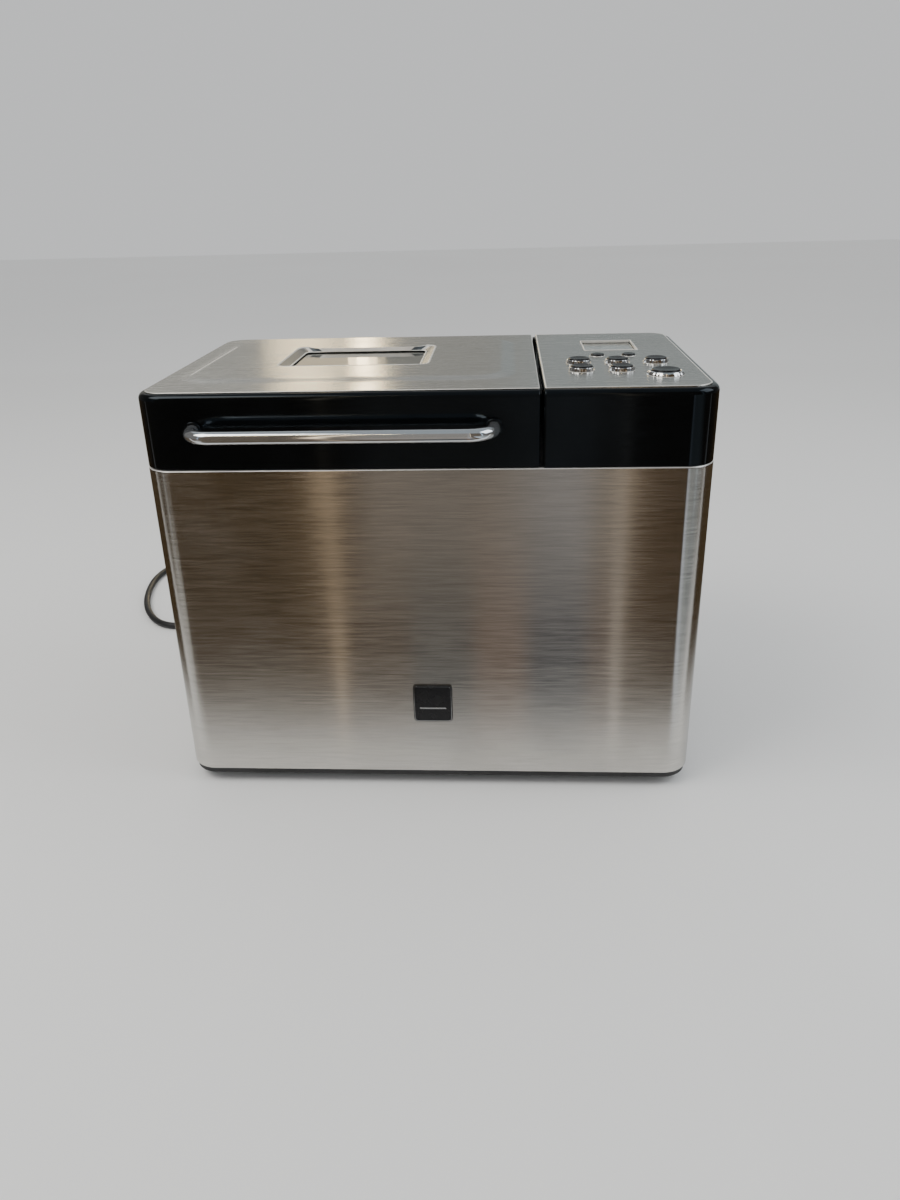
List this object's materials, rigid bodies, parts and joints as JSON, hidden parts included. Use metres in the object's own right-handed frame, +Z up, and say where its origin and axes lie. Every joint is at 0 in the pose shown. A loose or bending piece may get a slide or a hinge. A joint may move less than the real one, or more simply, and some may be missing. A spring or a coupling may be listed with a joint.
{
  "type": "bread machine",
  "caption": "Countertop bread maker: steel-wrapped body, black band, hinged lid with window and bar handle, key panel, removable pan and belt-driven paddle.",
  "frame": {"origin": "bottom centre of the box around the machine without its power cord, on the surface it stands on", "axes": "+X to the machine's right as its user faces it, +Y to the back, +Z up; the long side of the body lies along X"},
  "size_m": [0.5293, 0.4639, 0.2909],
  "materials": {
    "brushed_steel": "horizontally brushed stainless steel, lightly smudged",
    "painted_steel": "black powder-coated steel sheet",
    "badge_black": "plain black badge with a bright rim",
    "gloss_black": "high-gloss black moulding",
    "base_black": "fine-textured black moulding",
    "rubber": "matt black rubber",
    "chrome": "polished chrome plate",
    "steel_bright": "bright turned steel",
    "bronze": "sintered bronze",
    "liner_metal": "aluminised sheet, lightly streaked",
    "heater_sheath": "dark oxidised heating element sheath",
    "cast_metal": "die-cast alloy, lightly grained",
    "pulley_plastic": "glass-filled plastic",
    "belt_rubber": "black belt rubber",
    "laminations": "varnished steel laminations",
    "capacitor_case": "pale film capacitor case",
    "circuit_board": "green circuit board",
    "switch_plastic": "small black switches",
    "clear_lens": "clear display window",
    "display": "grey-green liquid crystal display",
    "dark_glass": "dark tempered glass",
    "pan_coating": "dark grey non-stick coating",
    "key_black": "satin black key cap",
    "cord_black": "black flexible cord jacket",
    "pin_brass": "plated brass plug blades"
  },
  "bodies": {
    "root": {"body_wrap": "brushed_steel", "rear_panel": "painted_steel", "front_badge": "badge_black", "control_skin": "brushed_steel", "control_housing": "gloss_black", "base_pan": "base_black", "top_deck": "base_black", "rubber_feet": "rubber", "button_bezels": "chrome", "chassis_screws": "steel_bright", "shaft_bushes": "bronze", "temperature_sensor": "steel_bright", "chamber_wall": "liner_metal", "chamber_floor": "liner_metal", "heater_element": "heater_sheath", "drive_housing": "cast_metal", "motor_bracket": "cast_metal", "motor_end_cap": "cast_metal", "drive_belt": "belt_rubber", "motor_stator": "laminations", "run_capacitor": "capacitor_case", "power_board": "circuit_board", "control_board": "circuit_board", "tact_switches": "switch_plastic", "lcd_lens": "clear_lens", "lcd_module": "display", "cord_gland": "cord_black", "cord_tube": "cord_black", "cord_coil": "cord_black", "cord_tail": "cord_black", "mains_plug": "cord_black", "plug_pins": "pin_brass"},
    "lid": {"lid_shell": "gloss_black", "lid_skin": "brushed_steel", "window_bezel": "brushed_steel", "window_glass": "dark_glass", "lid_liner": "liner_metal", "liner_glass": "dark_glass", "lid_handle": "chrome", "handle_bosses": "gloss_black", "handle_screws": "steel_bright", "hinge_pins": "steel_bright"},
    "pan": {"bread_pan": "pan_coating", "pan_base_ring": "cast_metal"},
    "bail": {"bail_handle": "steel_bright"},
    "kneader": {"pan_shaft": "steel_bright", "kneading_paddle": "pan_coating"},
    "drive": {"drive_shaft": "steel_bright", "drive_coupling": "cast_metal", "large_pulley": "pulley_plastic"},
    "motor": {"motor_rotor": "steel_bright", "small_pulley": "pulley_plastic"},
    "key_small_left": {"key_small_left": "key_black"},
    "key_small_right": {"key_small_right": "key_black"},
    "key_back_left": {"key_back_left": "key_black"},
    "key_back_middle": {"key_back_middle": "key_black"},
    "key_back_right": {"key_back_right": "key_black"},
    "key_front_left": {"key_front_left": "key_black"},
    "key_front_middle": {"key_front_middle": "key_black"},
    "key_start": {"key_start": "key_black"}
  },
  "joints": [
    {"name": "lid_hinge", "type": "hinge", "parent": "root", "child": "lid", "pos_m": [-0.055, 0.1146, 0.2487], "axis": [-1, 0, 0], "range_deg": [0, 85]},
    {"name": "pan_lift", "type": "slide", "parent": "root", "child": "pan", "axis": [0, 0, 1], "range_m": [0, 0.016]},
    {"name": "bail_hinge", "type": "hinge", "parent": "pan", "child": "bail", "pos_m": [-0.055, 0.0116, 0.22], "axis": [1, 0, 0], "range_deg": [0, 20]},
    {"name": "motor_spin", "type": "hinge", "parent": "root", "child": "motor", "pos_m": [0.112, 0.0116, 0.06], "axis": [0, 0, 1], "continuous": true},
    {"name": "drive_spin", "type": "hinge", "parent": "root", "child": "drive", "pos_m": [-0.055, 0.0116, 0.05], "axis": [0, 0, 1], "continuous": true},
    {"name": "kneader_spin", "type": "hinge", "parent": "pan", "child": "kneader", "pos_m": [-0.055, 0.0116, 0.09], "axis": [0, 0, 1], "continuous": true},
    {"name": "key_small_left_press", "type": "slide", "parent": "root", "child": "key_small_left", "axis": [0, 0, -1], "range_m": [0, 0.0008], "stiffness_N_per_m": 900, "springref_m": -0.0006},
    {"name": "key_small_right_press", "type": "slide", "parent": "root", "child": "key_small_right", "axis": [0, 0, -1], "range_m": [0, 0.0008], "stiffness_N_per_m": 900, "springref_m": -0.0006},
    {"name": "key_back_left_press", "type": "slide", "parent": "root", "child": "key_back_left", "axis": [0, 0, -1], "range_m": [0, 0.0008], "stiffness_N_per_m": 900, "springref_m": -0.0006},
    {"name": "key_back_middle_press", "type": "slide", "parent": "root", "child": "key_back_middle", "axis": [0, 0, -1], "range_m": [0, 0.0008], "stiffness_N_per_m": 900, "springref_m": -0.0006},
    {"name": "key_back_right_press", "type": "slide", "parent": "root", "child": "key_back_right", "axis": [0, 0, -1], "range_m": [0, 0.0008], "stiffness_N_per_m": 900, "springref_m": -0.0006},
    {"name": "key_front_left_press", "type": "slide", "parent": "root", "child": "key_front_left", "axis": [0, 0, -1], "range_m": [0, 0.0008], "stiffness_N_per_m": 900, "springref_m": -0.0006},
    {"name": "key_front_middle_press", "type": "slide", "parent": "root", "child": "key_front_middle", "axis": [0, 0, -1], "range_m": [0, 0.0008], "stiffness_N_per_m": 900, "springref_m": -0.0006},
    {"name": "key_start_press", "type": "slide", "parent": "root", "child": "key_start", "axis": [0, 0, -1], "range_m": [0, 0.0008], "stiffness_N_per_m": 900, "springref_m": -0.0006}
  ],
  "couplings": [
    {"joint": "drive_spin", "follows": "motor_spin", "ratio": 0.20455},
    {"joint": "kneader_spin", "follows": "motor_spin", "ratio": 0.20455}
  ]
}
